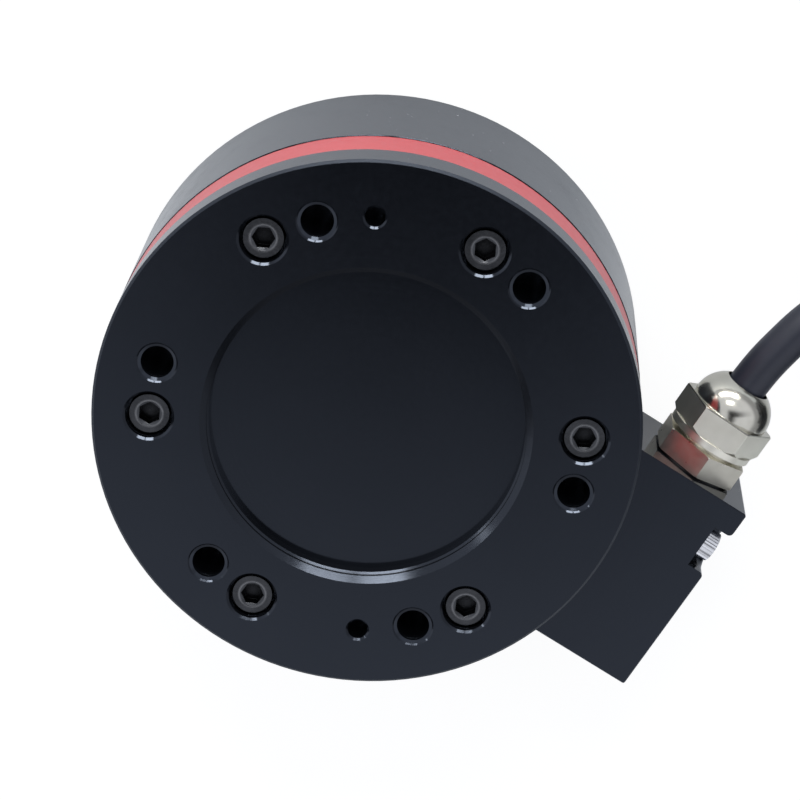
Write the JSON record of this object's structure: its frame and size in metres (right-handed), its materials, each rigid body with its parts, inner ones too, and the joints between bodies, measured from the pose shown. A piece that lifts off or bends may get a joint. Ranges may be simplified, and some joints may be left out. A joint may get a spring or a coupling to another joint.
{
  "type": "force torque sensor",
  "caption": "Round six-axis force torque sensor, 110 mm across and 56 mm high, with bolt circles on both faces, a side cable outlet, a red label band and a coiled lead with a 15-way plug.",
  "frame": {"origin": "centre of the rear mounting face", "axes": "+Z along the sensor's axis to the tool face; one dowel hole lies at +Y and a flange screw at +X; the cable outlet points 30 degrees from +X towards -Y"},
  "size_m": [0.2862, 0.1217, 0.056],
  "materials": {
    "anodised": "satin black anodised, fine machining marks",
    "steel": "bare machined steel",
    "black_oxide": "black oxide on alloy steel, lightly oiled",
    "label": "satin red film",
    "seal_rubber": "matt",
    "alloy": "machined",
    "gauge_film": "satin amber film",
    "board": "satin green lacquer",
    "black_plastic": "matt",
    "brass": "bright",
    "nickel": "nickel-plated, brushed",
    "cable_jacket": "matt flexible jacket",
    "wire": "satin"
  },
  "bodies": {
    "root": {"tool_flange": "anodised", "flange_screws": "black_oxide", "label_band": "label", "gap_seal": "seal_rubber", "sensing_element": "alloy", "strain_gauges": "gauge_film", "gauge_leads": "gauge_film", "housing": "anodised", "hub_screws": "black_oxide", "amplifier_board": "board", "board_chips": "black_plastic", "board_capacitors": "alloy", "board_connector": "black_plastic", "board_spacers": "brass", "board_screws": "steel", "outlet_block": "anodised", "outlet_gasket": "seal_rubber", "outlet_screws": "steel", "gland_body": "nickel", "gland_seal_ring": "seal_rubber", "gland_insert": "seal_rubber", "gland_nut": "nickel", "cable_end": "cable_jacket", "inner_harness": "black_plastic", "cable": "cable_jacket", "cable_coil": "cable_jacket", "cable_ties": "black_plastic", "cable_tail": "cable_jacket", "plug_hood_lower": "black_plastic", "plug_hood_upper": "black_plastic", "plug_shell": "nickel", "plug_insulator": "black_plastic", "plug_pins": "brass", "plug_wires": "wire", "plug_screws": "steel"}
  },
  "joints": []
}
